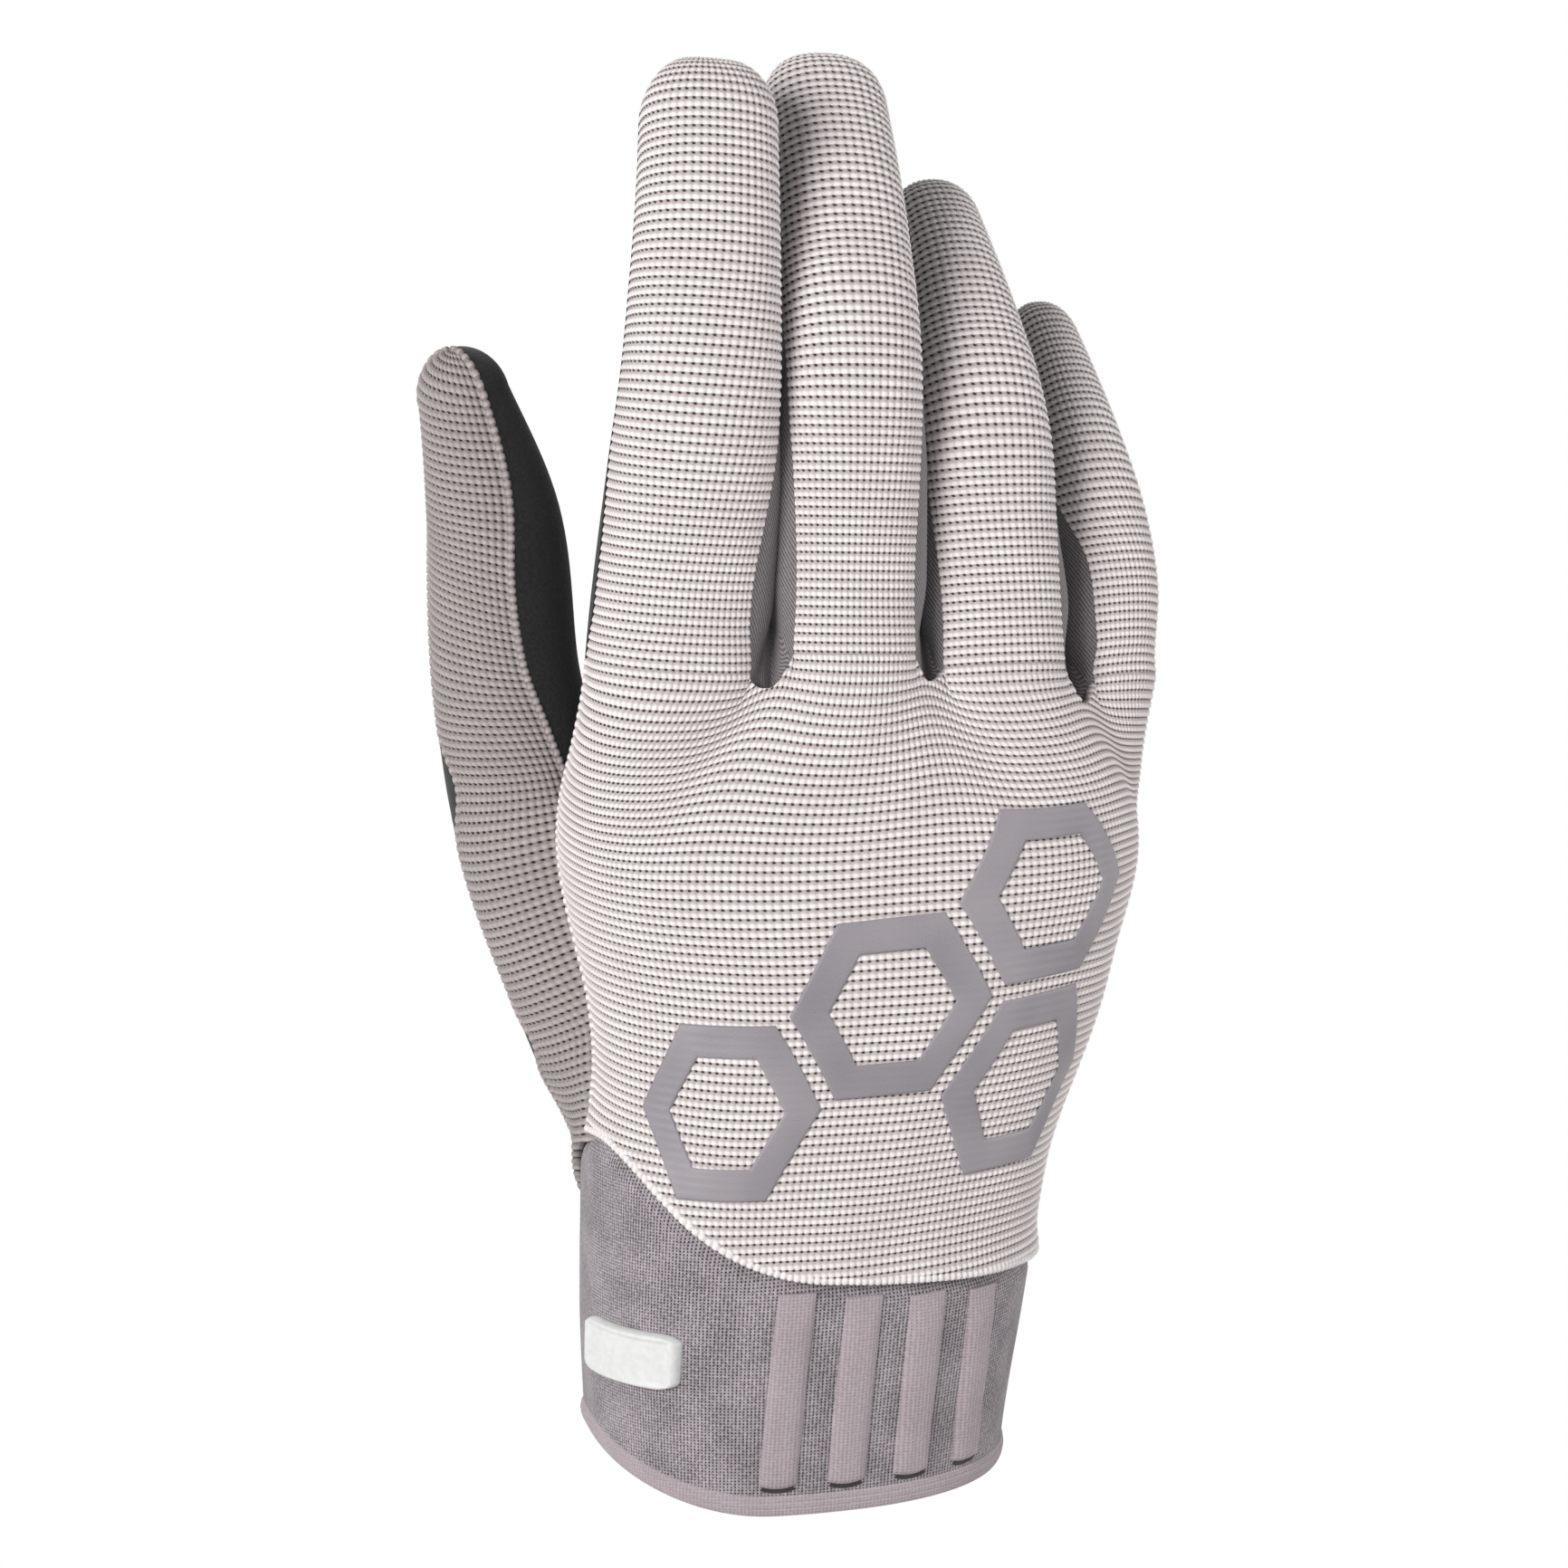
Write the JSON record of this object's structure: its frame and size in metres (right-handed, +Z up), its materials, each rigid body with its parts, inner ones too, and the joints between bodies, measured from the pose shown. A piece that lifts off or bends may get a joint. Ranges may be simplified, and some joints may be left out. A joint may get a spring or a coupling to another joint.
{
  "type": "motorcycle glove",
  "caption": "Slip-on riding glove for the right hand: rib-knit back, dark suede palm, stretch finger sides, and a soft cuff with raised strips and a rubber tab.",
  "frame": {"origin": "under the middle of the whole glove, on the plane that the hem of the cuff stands on", "axes": "+Z up from the hem to the fingertips, +X to the little finger, +Y to the palm side"},
  "size_m": [0.118, 0.0744, 0.2227],
  "materials": {
    "knit_back": "light warm grey rib knit",
    "suede_palm": "black synthetic suede",
    "stretch_side": "mid grey fine stretch twill",
    "cuff_cloth": "mauve grey fine knit over foam",
    "cuff_strip": "raised padded knit",
    "rubber_tab": "satin white moulded rubber"
  },
  "bodies": {
    "hand": {"hand_back": "knit_back", "palm": "suede_palm", "index_middle_crotch": "stretch_side", "middle_ring_crotch": "stretch_side", "ring_little_crotch": "stretch_side", "thumb_back_root": "knit_back", "thumb_palm_root": "suede_palm", "cuff": "cuff_cloth", "cuff_hem": "cuff_cloth", "cuff_strip_1": "cuff_strip", "cuff_strip_2": "cuff_strip", "cuff_strip_3": "cuff_strip", "cuff_strip_4": "cuff_strip", "cuff_tab": "rubber_tab"},
    "index_tip": {"index_back_tip": "knit_back", "index_palm_tip": "suede_palm", "index_outward_side_tip": "stretch_side"},
    "index_base": {"index_back_base": "knit_back", "index_palm_base": "suede_palm", "index_outward_side_base": "stretch_side"},
    "middle_tip": {"middle_back_tip": "knit_back", "middle_palm_tip": "suede_palm", "middle_thumbward_side_tip": "stretch_side", "middle_outward_side_tip": "stretch_side"},
    "middle_base": {"middle_back_base": "knit_back", "middle_palm_base": "suede_palm", "middle_thumbward_side_base": "stretch_side", "middle_outward_side_base": "stretch_side"},
    "ring_tip": {"ring_back_tip": "knit_back", "ring_palm_tip": "suede_palm", "ring_thumbward_side_tip": "stretch_side", "ring_outward_side_tip": "stretch_side"},
    "ring_base": {"ring_back_base": "knit_back", "ring_palm_base": "suede_palm", "ring_thumbward_side_base": "stretch_side", "ring_outward_side_base": "stretch_side"},
    "little_tip": {"little_back_tip": "knit_back", "little_palm_tip": "suede_palm", "little_thumbward_side_tip": "stretch_side"},
    "little_base": {"little_back_base": "knit_back", "little_palm_base": "suede_palm", "little_thumbward_side_base": "stretch_side"},
    "thumb_tip": {"thumb_back_tip": "knit_back", "thumb_palm_tip": "suede_palm"},
    "thumb_base": {"thumb_back_base": "knit_back", "thumb_palm_base": "suede_palm"}
  },
  "joints": [
    {"name": "index_knuckle", "type": "hinge", "parent": "hand", "child": "index_base", "pos_m": [-0.02117, 0.00159, 0.13044], "axis": [-0.9956, 0, 0.0941], "range_deg": [0, 60], "stiffness_Nm_per_rad": 0.05},
    {"name": "index_mid_knuckle", "type": "hinge", "parent": "index_base", "child": "index_tip", "pos_m": [-0.0171, 0.00322, 0.17344], "axis": [-0.9956, 0, 0.0941], "range_deg": [0, 70], "stiffness_Nm_per_rad": 0.05},
    {"name": "middle_knuckle", "type": "hinge", "parent": "hand", "child": "middle_base", "pos_m": [0.00459, -0.00053, 0.13031], "axis": [-0.9984, 0, 0.0558], "range_deg": [0, 60], "stiffness_Nm_per_rad": 0.05},
    {"name": "middle_mid_knuckle", "type": "hinge", "parent": "middle_base", "child": "middle_tip", "pos_m": [0.00708, 0.00625, 0.1748], "axis": [-0.9984, 0, 0.0558], "range_deg": [0, 70], "stiffness_Nm_per_rad": 0.05},
    {"name": "ring_knuckle", "type": "hinge", "parent": "hand", "child": "ring_base", "pos_m": [0.02926, 0.00016, 0.12536], "axis": [-1, 0, 0.0087], "range_deg": [0, 60], "stiffness_Nm_per_rad": 0.05},
    {"name": "ring_mid_knuckle", "type": "hinge", "parent": "ring_base", "child": "ring_tip", "pos_m": [0.02958, 0.00988, 0.16181], "axis": [-1, 0, 0.0087], "range_deg": [0, 70], "stiffness_Nm_per_rad": 0.05},
    {"name": "little_knuckle", "type": "hinge", "parent": "hand", "child": "little_base", "pos_m": [0.05081, 0.00439, 0.12021], "axis": [-0.9993, 0, -0.0384], "range_deg": [0, 60], "stiffness_Nm_per_rad": 0.05},
    {"name": "little_mid_knuckle", "type": "hinge", "parent": "little_base", "child": "little_tip", "pos_m": [0.04966, 0.01588, 0.15017], "axis": [-0.9993, 0, -0.0384], "range_deg": [0, 70], "stiffness_Nm_per_rad": 0.05},
    {"name": "thumb_knuckle", "type": "hinge", "parent": "hand", "child": "thumb_base", "pos_m": [-0.04412, 0.02241, 0.11563], "axis": [-0.9892, 0, -0.1465], "range_deg": [0, 30], "stiffness_Nm_per_rad": 0.05},
    {"name": "thumb_end_knuckle", "type": "hinge", "parent": "thumb_base", "child": "thumb_tip", "pos_m": [-0.03892, 0.02143, 0.14342], "axis": [-0.764, 0.6411, -0.0727], "range_deg": [0, 30], "stiffness_Nm_per_rad": 0.05}
  ]
}
